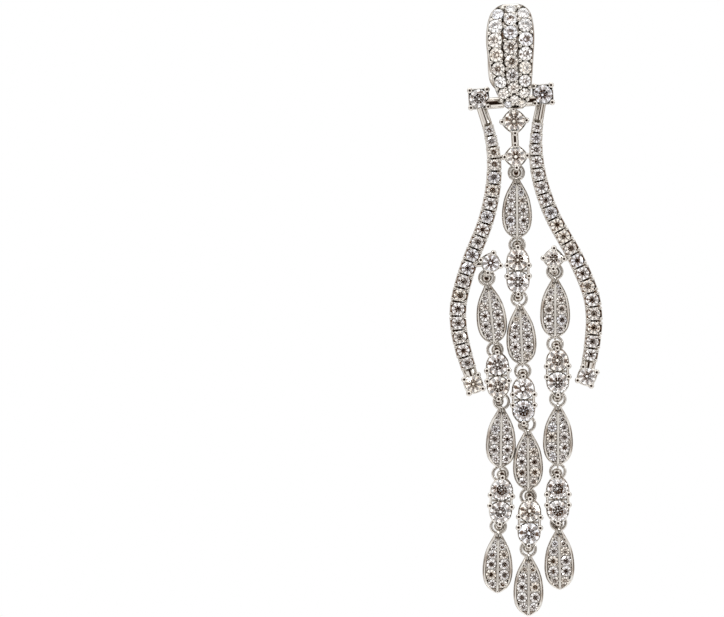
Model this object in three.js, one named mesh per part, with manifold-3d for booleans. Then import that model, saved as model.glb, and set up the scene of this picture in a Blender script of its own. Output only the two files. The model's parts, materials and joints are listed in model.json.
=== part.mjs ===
// Chandelier earring: a paved tongue that pins to the ear, and a drop that swings on a bar behind it.
// Millimetres, +Z up, front towards -Y. The origin is on the ear post, at the tongue's back face.
import * as THREE from 'three';
import { mergeVertices } from 'three/addons/utils/BufferGeometryUtils.js';
import Module from 'manifold-3d';

const wasm = await Module();
wasm.setup();

// Hinge of the drop: a pin between two thicker shoulders, in a loop on the tongue's back.
const HINGE = { y: 1.15, z: -8.85, pinRadius: 0.35, boreRadius: 0.47, loopRadius: 0.72, loopWidth: 1.3 };
const LOOP_FOOT = { width: 1.17, depth: 1.0, height: 0.8, rise: 0.15 };
const SHOULDER = { radius: 0.62, inner: 0.85, outer: 3.1, overlap: 0.2 };
const FRAME_LEAN = 3.9;
const DROP_DEPTH = 0.1;

// Stones and settings. Depths are measured from the drop's middle plane, front negative.
const GIRDLE_Y = -0.62;
const GIRDLE_HALF = 0.03;
const CROWN = 0.16;
const PAVILION = 0.43;
const TABLE = 0.28;
const STONE_SIDES = 8;
const SEAT_SIDES = 10;
const SEAT_GAP = 0.05;
const TOOL_OVERRUN = 0.1;
const CUP = { front: -0.5, back: 0.15, lip: 0.2, squareLip: 0.06, taper: 0.6, squareTaper: 0.9 };
const PRONG = {
  shaft: 0.14, bead: 0.2, beadY: -0.84, neckY: -0.68, tipY: -1.02, rootY: -0.2,
  offset: 0.2, squareOffset: 0.3, sides: 5,
};
const BRIDGE = { y: 0.78, radius: 0.12, rootY: -0.35, frontY: 0.1, bend: 0.18 };

const LEAF = { length: 7.0, halfWidth: 1.78, sides: 10, roundness: 0.8 };
const TWIN = {
  stone: 2.45, spacing: 2.62, plateFront: -0.5, plateBack: -0.05, sideProngAngle: 62, prongRootY: -0.1,
  bridgeRoot: 2.93, bridgeHold: 2.97,
};
// Right-hand corners of the twin setting's plate, from its top tip to its waist; it mirrors both ways.
const TWIN_CORNERS = [[0.37, 3.05], [1.02, 2.32], [1.38, 1.37], [1.42, 0]];
const RING = { radius: 0.86, wire: 0.165, y: 0.35, beyondLeaf: 0.78 };
const EYE = { radius: 0.34, wire: 0.11 };

// Ear side: the post, the clasp's wire loop and the lug that carries it.
const POST = { radius: 0.4, length: 9.2, root: -0.3, tipRadius: 0.46, tipInset: 0.3 };
const LUG = { y: 0.95, z: -6.95, halfWidth: 0.5, radius: 0.8, bore: 0.5, footSize: 1.1, footY: 0.05 };
const CLASP_WIRE = 0.4;
// Right half of the clasp's loop of wire, from its pin in the lug round behind the lobe to the top.
const CLASP_ROUTE = [
  [0.75, 0.95, -6.95], [1.25, 1.3, -6.95], [1.6, 3.2, -6.85], [2.15, 5.1, -5.75],
  [2.35, 5.65, -3.2], [2.2, 5.6, -0.8], [1.4, 5.45, 1.0],
];
const CLASP_TOP = [0, 5.4, 1.7];
const CLASP_TENSION = 0.4;
const TONGUE_LEAN = 2.6;
const TONGUE_SIDES = 16;
const TONGUE_ROUNDNESS = 0.72;

const WHITE_GOLD = { color: 0xc9c7c3, roughness: 0.2, metalness: 1 };
const DIAMOND = { color: 0xf2f3f5, roughness: 0.05, metalness: 0 };

// Tongue sections from top to tip: height, half width, front depth, back depth.
const TONGUE = [
  { z: 2.62, half: 0.9, front: 0.0, back: 0.5 },
  { z: 2.3, half: 1.6, front: -0.65, back: 0.35 },
  { z: 1.5, half: 2.25, front: -1.25, back: 0.15 },
  { z: 0.2, half: 2.6, front: -1.75, back: 0.0 },
  { z: -1.6, half: 2.7, front: -2.05, back: 0.0 },
  { z: -3.6, half: 2.5, front: -2.15, back: 0.0 },
  { z: -5.8, half: 2.3, front: -2.05, back: 0.0 },
  { z: -7.5, half: 2.0, front: -1.8, back: -0.05 },
  { z: -8.6, half: 1.6, front: -1.5, back: -0.15 },
  { z: -9.2, half: 1.2, front: -1.25, back: -0.25 },
  { z: -9.5, half: 0.7, front: -1.0, back: -0.4 },
];

// Arm of the frame, in the frame's own leaning axes: drop below the hinge, distance out, width.
const ARM = [
  { drop: 0.2, out: 3.6, width: 1.15 },
  { drop: 3.4, out: 2.82, width: 1.35 },
  { drop: 6.6, out: 2.5, width: 1.65 },
  { drop: 10.1, out: 2.87, width: 1.8 },
  { drop: 14.0, out: 4.02, width: 1.85 },
  { drop: 18.8, out: 6.27, width: 1.9 },
  { drop: 22.9, out: 7.72, width: 1.95 },
  { drop: 25.9, out: 8.03, width: 1.95 },
  { drop: 28.9, out: 7.66, width: 1.9 },
  { drop: 32.1, out: 6.9, width: 1.65 },
];
const ARM_HALF_DEPTH = 0.85;
const ARM_BEVEL = 0.22;
const ARM_STEPS = 18;

// Collets of the frame: place in its axes, stone, turn of the prongs, sides of the cup, and how far
// past the prong a back bridge holds a ring (0 for none).
const COLLETS = [
  { name: 'top_left', u: -3.79, w: 0.6, stone: 2.2, turn: 45, sides: 4, bridge: 0 },
  { name: 'top_right', u: 3.79, w: 0.6, stone: 2.2, turn: 45, sides: 4, bridge: 0 },
  { name: 'middle_upper', u: 0.19, w: -2.33, stone: 2.4, turn: 0, sides: 10, bridge: 0 },
  { name: 'middle_lower', u: 0.1, w: -6.5, stone: 2.2, turn: 90, sides: 10, bridge: 0.12 },
  { name: 'strand_left', u: -3.73, w: -18.85, stone: 1.95, turn: 78, sides: 10, bridge: 0.35 },
  { name: 'strand_right', u: 3.73, w: -18.85, stone: 1.95, turn: 90, sides: 10, bridge: 0.35 },
  { name: 'end_left', u: -6.73, w: -33.0, stone: 1.95, turn: 40, sides: 10, bridge: 0 },
  { name: 'end_right', u: 6.73, w: -33.0, stone: 1.95, turn: 58, sides: 10, bridge: 0 },
];
// Round bars soldered between collets and arms, in the frame's axes.
const BAR_Y = -0.2;
const BARS = [
  { fromU: 0.17, fromW: -3.2, toU: 0.12, toW: -5.6, radius: 0.42 },
  { fromU: -2.2, fromW: -6.5, toU: -0.95, toW: -6.5, radius: 0.28 },
  { fromU: 1.1, fromW: -6.5, toU: 2.2, toW: -6.5, radius: 0.28 },
  { fromU: -5.75, fromW: -18.95, toU: -4.5, toW: -18.85, radius: 0.32 },
  { fromU: 4.5, fromW: -18.85, toU: 5.75, toW: -18.95, radius: 0.32 },
];

// Strands from top to bottom: strand, kind of link, middle of the link, lean from upright in degrees.
const LINKS = [
  { strand: 'middle', kind: 'leaf', x: 0.68, z: -21.49, lean: 0.6 },
  { strand: 'middle', kind: 'twin', x: 0.8, z: -28.85, lean: 0.5 },
  { strand: 'middle', kind: 'leaf', x: 1.18, z: -36.42, lean: 2.8 },
  { strand: 'middle', kind: 'twin', x: 1.45, z: -44.1, lean: 0.6 },
  { strand: 'middle', kind: 'leaf', x: 1.99, z: -51.25, lean: 0.6 },
  { strand: 'middle', kind: 'twin', x: 2.15, z: -58.58, lean: -1.6 },
  { strand: 'middle', kind: 'leaf', x: 2.05, z: -66.05, lean: 0.0 },
  { strand: 'left', kind: 'leaf', x: -2.38, z: -33.93, lean: 6.5 },
  { strand: 'left', kind: 'twin', x: -1.58, z: -41.25, lean: 1.6 },
  { strand: 'left', kind: 'leaf', x: -1.2, z: -48.59, lean: -1.0 },
  { strand: 'left', kind: 'twin', x: -1.2, z: -56.05, lean: -3.2 },
  { strand: 'left', kind: 'leaf', x: -1.58, z: -63.35, lean: -1.0 },
  { strand: 'right', kind: 'leaf', x: 5.2, z: -33.22, lean: 0.2 },
  { strand: 'right', kind: 'twin', x: 5.48, z: -40.75, lean: 1.0 },
  { strand: 'right', kind: 'leaf', x: 5.54, z: -48.31, lean: 0.0 },
  { strand: 'right', kind: 'twin', x: 5.5, z: -55.9, lean: 0.6 },
  { strand: 'right', kind: 'leaf', x: 5.7, z: -62.95, lean: 1.0 },
];
// Leaf sections: share of the length from the top, share of the half width, front and back depth.
const LEAF_SECTIONS = [
  { along: 0, half: 0.2, front: -0.42, back: 0.05 },
  { along: 0.08, half: 0.36, front: -0.6, back: 0.15 },
  { along: 0.22, half: 0.66, front: -0.72, back: 0.55 },
  { along: 0.42, half: 0.92, front: -0.75, back: 0.72 },
  { along: 0.62, half: 1.0, front: -0.75, back: 0.75 },
  { along: 0.8, half: 0.91, front: -0.72, back: 0.55 },
  { along: 0.92, half: 0.64, front: -0.62, back: 0.2 },
  { along: 1, half: 0.24, front: -0.42, back: 0.05 },
];

const radians = THREE.MathUtils.degToRad;

function solidOf(geometry) {
  const bare = geometry.clone();
  bare.deleteAttribute('normal');
  bare.deleteAttribute('uv');
  const merged = mergeVertices(bare, 1e-4);
  const mesh = new wasm.Mesh({
    numProp: 3,
    vertProperties: new Float32Array(merged.attributes.position.array),
    triVerts: new Uint32Array(merged.index.array),
  });
  return new wasm.Manifold(mesh);
}

function geometryOf(solid) {
  const mesh = solid.getMesh();
  const geometry = new THREE.BufferGeometry();
  geometry.setAttribute('position', new THREE.BufferAttribute(mesh.vertProperties, 3));
  geometry.setIndex(new THREE.BufferAttribute(mesh.triVerts, 1));
  return geometry;
}

function join(first, ...others) {
  let solid = solidOf(first);
  for (const other of others) {
    solid = solid.add(solidOf(other));
  }
  return geometryOf(solid);
}

function cut(body, ...tools) {
  let solid = solidOf(body);
  for (const tool of tools) {
    solid = solid.subtract(solidOf(tool));
  }
  return geometryOf(solid);
}

// A closed skin through rings of points; every ring has as many points, and both ends are capped.
function loft(rings) {
  const count = rings[0].length;
  const positions = rings.flat().flatMap((point) => [point.x, point.y, point.z]);
  const index = [];
  for (let ring = 0; ring + 1 < rings.length; ring += 1) {
    for (let side = 0; side < count; side += 1) {
      const a = ring * count + side;
      const b = ring * count + ((side + 1) % count);
      index.push(a, a + count, b, b, a + count, b + count);
    }
  }
  const last = (rings.length - 1) * count;
  for (let side = 1; side + 1 < count; side += 1) {
    index.push(0, side, side + 1);
    index.push(last, last + side + 1, last + side);
  }
  const geometry = new THREE.BufferGeometry();
  geometry.setAttribute('position', new THREE.Float32BufferAttribute(positions, 3));
  geometry.setIndex(index);
  return geometry;
}

// A rounded section across the depth: an ellipse whose front and back lie at the given depths.
function roundSection(half, front, back, z, sides, power) {
  const points = [];
  for (let side = 0; side < sides; side += 1) {
    const angle = (2 * Math.PI * (side + 0.5)) / sides;
    const across = Math.sign(Math.cos(angle)) * Math.abs(Math.cos(angle)) ** power;
    const deep = Math.sign(Math.sin(angle)) * Math.abs(Math.sin(angle)) ** power;
    const y = (front + back) / 2 + (deep * (back - front)) / 2;
    points.push(new THREE.Vector3(across * half, y, z));
  }
  return points;
}

function rod(from, to, radius, sides = 8) {
  const length = from.distanceTo(to);
  const geometry = new THREE.CylinderGeometry(radius, radius, length, sides);
  const along = to.clone().sub(from).normalize();
  const turn = new THREE.Quaternion().setFromUnitVectors(new THREE.Vector3(0, 1, 0), along);
  geometry.applyQuaternion(turn);
  const middle = from.clone().add(to).multiplyScalar(0.5);
  return geometry.translate(middle.x, middle.y, middle.z);
}

// A stone: table, crown, girdle and pavilion, turned about the depth axis.
function stone(diameter) {
  const radius = diameter / 2;
  const profile = [
    new THREE.Vector2(0, GIRDLE_Y - CROWN * diameter),
    new THREE.Vector2(TABLE * diameter, GIRDLE_Y - CROWN * diameter),
    new THREE.Vector2(radius, GIRDLE_Y - GIRDLE_HALF),
    new THREE.Vector2(radius, GIRDLE_Y + GIRDLE_HALF),
    new THREE.Vector2(0, GIRDLE_Y + PAVILION * diameter),
  ];
  return new THREE.LatheGeometry(profile, STONE_SIDES);
}

function prong(rootY) {
  const profile = [
    new THREE.Vector2(0, PRONG.tipY),
    new THREE.Vector2(PRONG.bead, PRONG.beadY),
    new THREE.Vector2(PRONG.shaft, PRONG.neckY),
    new THREE.Vector2(PRONG.shaft, rootY),
    new THREE.Vector2(0, rootY),
  ];
  return new THREE.LatheGeometry(profile, PRONG.sides);
}

// The seat's corner radius at a depth: the pavilion's cone and a gap, measured on the seat's flats.
function seatRadius(diameter, y) {
  const culetY = GIRDLE_Y + PAVILION * diameter;
  const cone = ((diameter / 2) * (culetY - y)) / (PAVILION * diameter - GIRDLE_HALF);
  return (cone + SEAT_GAP) / Math.cos(Math.PI / SEAT_SIDES);
}

// A wire over the back of a setting, which keeps the rings hooked behind it. It leaves the front
// metal at the root, and stands off furthest at the hold, which the ring's hole goes over.
function backBridge(root, hold) {
  const corners = [
    [root, BRIDGE.rootY], [hold, BRIDGE.frontY], [hold, BRIDGE.y - BRIDGE.bend],
    [hold - BRIDGE.bend, BRIDGE.y], [BRIDGE.bend - hold, BRIDGE.y],
    [-hold, BRIDGE.y - BRIDGE.bend], [-hold, BRIDGE.frontY], [-root, BRIDGE.rootY],
  ];
  const points = corners.map(([z, y]) => new THREE.Vector3(0, y, z));
  const rings = points.map((point, place) => {
    const before = points[Math.max(place - 1, 0)];
    const after = points[Math.min(place + 1, points.length - 1)];
    const along = after.clone().sub(before).normalize();
    const across = new THREE.Vector3(0, along.z, -along.y);
    return wireRing(point, across, BRIDGE.radius, 6);
  });
  return loft(rings);
}

// The ring of points round a wire that runs in a plane of constant x.
function wireRing(middle, across, radius, sides) {
  const points = [];
  for (let side = 0; side < sides; side += 1) {
    const angle = (2 * Math.PI * side) / sides;
    const point = middle.clone().addScaledVector(across, -radius * Math.sin(angle));
    point.x += radius * Math.cos(angle);
    points.push(point);
  }
  return points;
}

// A cup with four prongs; a square cup has its corners under the prongs.
function colletParts({ stone: diameter, turn, sides, bridge }) {
  const square = sides === 4;
  const corner = square ? Math.SQRT2 : 1;
  const outerFront = corner * (diameter / 2 + (square ? CUP.squareLip : CUP.lip));
  const outerBack = corner * (diameter / 2) * (square ? CUP.squareTaper : CUP.taper);
  const innerFront = seatRadius(diameter, CUP.front);
  const innerBack = seatRadius(diameter, CUP.back);
  const outer = new THREE.LatheGeometry([
    new THREE.Vector2(0, CUP.front),
    new THREE.Vector2(outerFront, CUP.front),
    new THREE.Vector2(outerBack, CUP.back),
    new THREE.Vector2(0, CUP.back),
  ], sides).rotateY(radians(turn));
  const seat = new THREE.LatheGeometry([
    new THREE.Vector2(0, CUP.front - TOOL_OVERRUN),
    new THREE.Vector2(innerFront + TOOL_OVERRUN, CUP.front - TOOL_OVERRUN),
    new THREE.Vector2(innerFront, CUP.front),
    new THREE.Vector2(innerBack, CUP.back),
    new THREE.Vector2(innerBack, CUP.back + TOOL_OVERRUN),
    new THREE.Vector2(0, CUP.back + TOOL_OVERRUN),
  ], SEAT_SIDES);
  const cup = cut(outer, seat);
  const parts = [];
  const reach = diameter / 2 + (square ? PRONG.squareOffset : PRONG.offset);
  for (let corners = 0; corners < 4; corners += 1) {
    const angle = radians(turn + 90 * corners);
    parts.push(prong(PRONG.rootY).translate(reach * Math.cos(angle), 0, reach * Math.sin(angle)));
  }
  if (bridge) {
    parts.push(backBridge(reach, reach + bridge).rotateY(radians(90 - turn)));
  }
  return [cup, ...parts];
}

function leafGeometry(hasLowerEye) {
  const top = LEAF.length / 2;
  const rings = LEAF_SECTIONS.map(({ along, half, front, back }) => {
    const z = top - along * LEAF.length;
    return roundSection(half * LEAF.halfWidth, front, back, z, LEAF.sides, LEAF.roundness);
  });
  const eyeAt = top + RING.beyondLeaf - RING.radius;
  const eyes = hasLowerEye ? [eyeAt, -eyeAt] : [eyeAt];
  const loops = eyes.map((z) => {
    const loop = new THREE.TorusGeometry(EYE.radius, EYE.wire, 5, 8).rotateY(Math.PI / 2);
    return loop.translate(0, RING.y, z);
  });
  return join(loft(rings), ...loops);
}

function twinGeometry() {
  const { spacing, stone: diameter, plateFront, plateBack, bridgeRoot, bridgeHold } = TWIN;
  const lower = TWIN_CORNERS.slice(0, -1).reverse().map(([x, z]) => [x, -z]);
  const right = [...TWIN_CORNERS, ...lower];
  const left = right.map(([x, z]) => [-x, z]).reverse();
  const outline = new THREE.Shape([...right, ...left].map(([x, z]) => new THREE.Vector2(x, z)));
  const plate = new THREE.ExtrudeGeometry(outline, { depth: plateBack - plateFront, bevelEnabled: false });
  plate.rotateX(Math.PI / 2).translate(0, plateBack, 0);
  const seats = [spacing / 2, -spacing / 2].map((z) => new THREE.LatheGeometry([
    new THREE.Vector2(0, plateFront - TOOL_OVERRUN),
    new THREE.Vector2(seatRadius(diameter, plateFront), plateFront - TOOL_OVERRUN),
    new THREE.Vector2(seatRadius(diameter, plateFront), plateFront),
    new THREE.Vector2(seatRadius(diameter, plateBack), plateBack + TOOL_OVERRUN),
    new THREE.Vector2(0, plateBack + TOOL_OVERRUN),
  ], SEAT_SIDES).translate(0, 0, z));
  const reach = diameter / 2 + PRONG.offset;
  const sideAngle = radians(TWIN.sideProngAngle);
  const side = { x: reach * Math.sin(sideAngle), z: spacing / 2 - reach * Math.cos(sideAngle) };
  const places = [
    [0, spacing / 2 + reach], [side.x, side.z], [-side.x, side.z],
    [side.x, -side.z], [-side.x, -side.z], [0, -spacing / 2 - reach],
  ];
  const prongs = places.map(([x, z]) => prong(TWIN.prongRootY).translate(x, 0, z));
  return join(cut(plate, ...seats), backBridge(bridgeRoot, bridgeHold), ...prongs);
}

function armGeometry(sideSign) {
  const route = new THREE.CatmullRomCurve3(
    ARM.map(({ drop, out }) => new THREE.Vector3(sideSign * out, 0, -drop)),
  );
  const widths = new THREE.CatmullRomCurve3(ARM.map(({ width }) => new THREE.Vector3(width, 0, 0)));
  const rings = [];
  for (let step = 0; step <= ARM_STEPS; step += 1) {
    const t = step / ARM_STEPS;
    const point = route.getPoint(t);
    const along = route.getTangent(t);
    const across = new THREE.Vector3(-along.z, 0, along.x);
    const half = widths.getPoint(t).x / 2;
    const inner = half - ARM_BEVEL;
    const shoulder = ARM_HALF_DEPTH - ARM_BEVEL;
    const corners = [
      [half, shoulder], [inner, ARM_HALF_DEPTH], [-inner, ARM_HALF_DEPTH], [-half, shoulder],
      [-half, -shoulder], [-inner, -ARM_HALF_DEPTH], [inner, -ARM_HALF_DEPTH], [half, -shoulder],
    ];
    rings.push(corners.map(([over, deep]) => point.clone().addScaledVector(across, over).setY(deep)));
  }
  return loft(rings);
}

// The room that a set stone needs, open to the front; the arms and bars stop short of it.
function stonePocket(diameter) {
  const wide = (diameter / 2 + SEAT_GAP / 2) / Math.cos(Math.PI / SEAT_SIDES);
  const openY = -ARM_HALF_DEPTH - 4 * TOOL_OVERRUN;
  const tipY = GIRDLE_Y + PAVILION * diameter + 2 * SEAT_GAP;
  return new THREE.LatheGeometry([
    new THREE.Vector2(0, openY),
    new THREE.Vector2(wide, openY),
    new THREE.Vector2(wide, GIRDLE_Y + 2 * GIRDLE_HALF),
    new THREE.Vector2(seatRadius(diameter, CUP.back), CUP.back),
    new THREE.Vector2(2 * SEAT_GAP, tipY),
    new THREE.Vector2(0, tipY),
  ], SEAT_SIDES);
}

function frameGeometry() {
  const parts = [armGeometry(-1), armGeometry(1)];
  const axis = (u) => new THREE.Vector3(u, -DROP_DEPTH, 0);
  const pinEnd = SHOULDER.inner + SHOULDER.overlap;
  parts.push(rod(axis(-pinEnd), axis(pinEnd), HINGE.pinRadius, 12));
  parts.push(rod(axis(-SHOULDER.outer), axis(-SHOULDER.inner), SHOULDER.radius, 12));
  parts.push(rod(axis(SHOULDER.inner), axis(SHOULDER.outer), SHOULDER.radius, 12));
  for (const { fromU, fromW, toU, toW, radius } of BARS) {
    parts.push(rod(new THREE.Vector3(fromU, BAR_Y, fromW), new THREE.Vector3(toU, BAR_Y, toW), radius));
  }
  for (const collet of COLLETS) {
    for (const part of colletParts(collet)) {
      parts.push(part.translate(collet.u, 0, collet.w));
    }
  }
  const pockets = COLLETS.map(({ stone: diameter, u, w }) => stonePocket(diameter).translate(u, 0, w));
  return { parts, pockets };
}

function tongueGeometry() {
  const rings = TONGUE.map(({ z, half, front, back }) => (
    roundSection(half, front, back, z, TONGUE_SIDES, TONGUE_ROUNDNESS)
  ));
  const body = loft(rings).rotateY(radians(-TONGUE_LEAN));
  const postEnd = new THREE.Vector3(0, POST.length - POST.tipInset, 0);
  const post = rod(new THREE.Vector3(0, POST.root, 0), postEnd, POST.radius, 10);
  const tip = new THREE.SphereGeometry(POST.tipRadius, 10, 6).translate(0, postEnd.y, 0);
  return join(body, post, tip);
}

// The lug that carries the clasp's wire, and the loop that carries the drop, each on a foot.
function carrierParts() {
  const lugAt = (x) => new THREE.Vector3(x, LUG.y, LUG.z);
  const lug = rod(lugAt(-LUG.halfWidth), lugAt(LUG.halfWidth), LUG.radius, 14);
  const lugFoot = new THREE.BoxGeometry(2 * LUG.halfWidth, LUG.footSize, LUG.footSize);
  lugFoot.translate(0, LUG.footY, LUG.z);
  const lean = radians(FRAME_LEAN);
  const hingeAlong = new THREE.Vector3(Math.cos(lean), 0, Math.sin(lean));
  const hingeAt = (reach) => new THREE.Vector3(0, HINGE.y, HINGE.z).addScaledVector(hingeAlong, reach);
  const loopEnd = HINGE.loopWidth / 2;
  const loop = rod(hingeAt(-loopEnd), hingeAt(loopEnd), HINGE.loopRadius, 16);
  const loopFoot = new THREE.BoxGeometry(LOOP_FOOT.width, LOOP_FOOT.depth, LOOP_FOOT.height);
  loopFoot.translate(0, 0, HINGE.z + LOOP_FOOT.rise);
  const bore = rod(hingeAt(-2 * loopEnd), hingeAt(2 * loopEnd), HINGE.boreRadius, 16);
  const lugBore = rod(lugAt(-2 * LUG.halfWidth), lugAt(2 * LUG.halfWidth), LUG.bore, 14);
  return { carriers: [lug, lugFoot, loop, loopFoot], bores: [bore, lugBore] };
}

function claspGeometry() {
  const right = CLASP_ROUTE.map(([x, y, z]) => new THREE.Vector3(x, y, z));
  const left = CLASP_ROUTE.map(([x, y, z]) => new THREE.Vector3(-x, y, z)).reverse();
  const route = [...right, new THREE.Vector3(...CLASP_TOP), ...left];
  const curve = new THREE.CatmullRomCurve3(route, true, 'catmullrom', CLASP_TENSION);
  return new THREE.TubeGeometry(curve, 32, CLASP_WIRE, 6, true);
}

const earring = new THREE.Group();

function addPiece(parent, name, geometry, finish) {
  const mesh = new THREE.Mesh(geometry, new THREE.MeshStandardMaterial(finish));
  mesh.name = name;
  parent.add(mesh);
  return mesh;
}

const { carriers, bores } = carrierParts();
addPiece(earring, 'pave_clip', cut(join(tongueGeometry(), ...carriers), ...bores), WHITE_GOLD);
addPiece(earring, 'clip_back', claspGeometry(), WHITE_GOLD);

// The frame hangs from the hinge in axes of its own, which lean with it.
const frame = new THREE.Group();
frame.position.set(0, HINGE.y + DROP_DEPTH, HINGE.z);
frame.rotation.y = radians(-FRAME_LEAN);
earring.add(frame);
const { parts: framePieces, pockets } = frameGeometry();
addPiece(frame, 'drop_frame', cut(join(...framePieces), ...pockets), WHITE_GOLD);
for (const { name, stone: diameter, u, w } of COLLETS) {
  const gem = addPiece(frame, `stone_${name}`, stone(diameter), DIAMOND);
  gem.position.set(u, 0, w);
}

// The strands hang in the earring's own axes, each link with a lean of its own.
const strands = new THREE.Group();
strands.position.y = HINGE.y + DROP_DEPTH;
earring.add(strands);
const counts = {};
for (const [place, link] of LINKS.entries()) {
  const { strand, kind, x, z, lean } = link;
  const tally = `${strand}_${kind}`;
  counts[tally] = (counts[tally] ?? 0) + 1;
  const name = `${tally}_${counts[tally]}`;
  const group = new THREE.Group();
  group.position.set(x, 0, z);
  group.rotation.y = radians(-lean);
  strands.add(group);
  if (kind === 'twin') {
    addPiece(group, name, twinGeometry(), WHITE_GOLD);
    const gemAt = TWIN.spacing / 2;
    addPiece(group, `${name}_stone_upper`, stone(TWIN.stone), DIAMOND).position.z = gemAt;
    addPiece(group, `${name}_stone_lower`, stone(TWIN.stone), DIAMOND).position.z = -gemAt;
  } else {
    const next = LINKS[place + 1];
    const hasLower = next !== undefined && next.strand === strand;
    addPiece(group, name, leafGeometry(hasLower), WHITE_GOLD);
    const ringEnds = hasLower ? { upper: 1, lower: -1 } : { upper: 1 };
    for (const [end, sign] of Object.entries(ringEnds)) {
      const hoop = new THREE.TorusGeometry(RING.radius, RING.wire, 5, 12).rotateX(Math.PI / 2);
      const ring = addPiece(group, `${name}_ring_${end}`, hoop, WHITE_GOLD);
      ring.position.set(0, RING.y, sign * (LEAF.length / 2 + RING.beyondLeaf));
    }
  }
}

export default earring;
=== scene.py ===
import bpy
import bmesh
import json
import math
import random
import numpy as np
from mathutils import Matrix, Vector


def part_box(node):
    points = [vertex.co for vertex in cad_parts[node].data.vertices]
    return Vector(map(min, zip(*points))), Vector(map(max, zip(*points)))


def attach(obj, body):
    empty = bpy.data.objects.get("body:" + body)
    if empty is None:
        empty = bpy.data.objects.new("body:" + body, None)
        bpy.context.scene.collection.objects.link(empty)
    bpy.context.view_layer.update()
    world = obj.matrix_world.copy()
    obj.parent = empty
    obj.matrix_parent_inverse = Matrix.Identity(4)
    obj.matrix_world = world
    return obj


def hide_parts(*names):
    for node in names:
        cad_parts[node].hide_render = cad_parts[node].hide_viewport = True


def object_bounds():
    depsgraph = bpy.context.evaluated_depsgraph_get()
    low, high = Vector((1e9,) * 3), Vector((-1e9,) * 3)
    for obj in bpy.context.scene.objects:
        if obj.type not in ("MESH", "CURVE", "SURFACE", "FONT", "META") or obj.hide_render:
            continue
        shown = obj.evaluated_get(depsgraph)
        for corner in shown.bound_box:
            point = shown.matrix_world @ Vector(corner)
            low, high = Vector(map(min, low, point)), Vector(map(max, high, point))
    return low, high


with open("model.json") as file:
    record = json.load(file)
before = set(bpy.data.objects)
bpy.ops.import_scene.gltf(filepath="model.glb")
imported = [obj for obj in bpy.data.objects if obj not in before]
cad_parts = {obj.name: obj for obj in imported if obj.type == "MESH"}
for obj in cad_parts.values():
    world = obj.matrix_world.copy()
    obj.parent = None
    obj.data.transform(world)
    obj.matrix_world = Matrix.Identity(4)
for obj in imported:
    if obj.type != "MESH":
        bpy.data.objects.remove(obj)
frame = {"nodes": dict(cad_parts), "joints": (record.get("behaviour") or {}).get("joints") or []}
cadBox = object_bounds()
mm = 0.001
random.seed(7)


# meshes: every shape is kept as points and faces in millimetres until its piece is made

def newShape():
    return {"points": [], "faces": [], "tints": []}


def addPart(shape, part, place=None, tint=0.0):
    points, faces = part
    start = sum(len(block) for block in shape["points"])
    block = np.array(points, float)
    if place is not None:
        matrix = np.array(place)
        block = block @ matrix[:3, :3].T + matrix[:3, 3]
    shape["points"].append(block)
    shape["faces"].extend(tuple(i + start for i in face) for face in faces)
    shape["tints"].extend([tint] * len(faces))


def sweep(rings, loop=False):
    count = len(rings[0])
    points = [point for ring in rings for point in ring]
    faces = []
    for ring in range(len(rings) if loop else len(rings) - 1):
        near, far = ring * count, ((ring + 1) % len(rings)) * count
        for side in range(count):
            after = (side + 1) % count
            faces.append((near + side, near + after, far + after, far + side))
    if not loop:
        last = (len(rings) - 1) * count
        faces.append(tuple(reversed(range(count))))
        faces.append(tuple(range(last, last + count)))
    return points, faces


def outline(halfX, halfY, height, sides, squareness=2):
    # squareness of 2 is an ellipse, and 7 nearly a rectangle with soft corners
    ring = []
    for side in range(sides):
        c, s = math.cos(2 * math.pi * (side + 0.5) / sides), math.sin(2 * math.pi * (side + 0.5) / sides)
        reach = (abs(c) ** squareness + abs(s) ** squareness) ** (-1 / squareness)
        ring.append((halfX * reach * c, halfY * reach * s, height))
    return ring


def turned(profile, sides):
    # a solid turned about its axis, from rows of radius and height
    return sweep([outline(radius, radius, height, sides) for radius, height in profile])


def turnedRing(profile, sides):
    # a hollow ring turned about its axis, from a closed profile of radius and height
    rings = []
    for side in range(sides):
        c, s = math.cos(2 * math.pi * side / sides), math.sin(2 * math.pi * side / sides)
        rings.append([(radius * c, radius * s, height) for radius, height in profile])
    return sweep(rings, loop=True)


def wire(path, radius, sides=10, loop=False):
    # a round wire along a path, with rounded ends when it isn't a loop
    points = [Vector(point) for point in path]
    rings = []
    side = None
    for place, point in enumerate(points):
        before = points[place - 1] if place or loop else point
        after = points[(place + 1) % len(points)] if place + 1 < len(points) or loop else point
        along = (after - before).normalized()
        if side is None:
            side = along.orthogonal().normalized()
        side = (side - along * side.dot(along)).normalized()
        other = along.cross(side)
        ring = []
        for step in range(sides):
            angle = 2 * math.pi * step / sides
            ring.append(tuple(point + radius * (side * math.cos(angle) + other * math.sin(angle))))
        rings.append(ring)
    if not loop:
        for first, inner in ((0, 1), (-1, -2)):
            middle = points[first]
            outward = (middle - points[inner]).normalized() * radius
            caps = []
            for share in (0.5, 0.87):
                scale = math.sqrt(1 - share * share)
                caps.append([tuple(middle + (Vector(p) - middle) * scale + outward * share)
                             for p in rings[first]])
            rings = caps[::-1] + rings if first == 0 else rings + caps
    return sweep(rings, loop)


def smoothPath(knots, steps):
    # a smooth curve through the knots, with the same number of steps between each two
    rows = np.array(knots, float)
    padded = np.vstack([2 * rows[0] - rows[1], rows, 2 * rows[-1] - rows[-2]])
    out = []
    for i in range(len(rows) - 1):
        a, b, c, d = padded[i:i + 4]
        for step in range(steps):
            t = step / steps
            out.append(0.5 * (2 * b + (c - a) * t + (2 * a - 5 * b + 4 * c - d) * t ** 2
                              + (3 * b - a - 3 * c + d) * t ** 3))
    out.append(rows[-1])
    return np.array(out)


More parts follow.
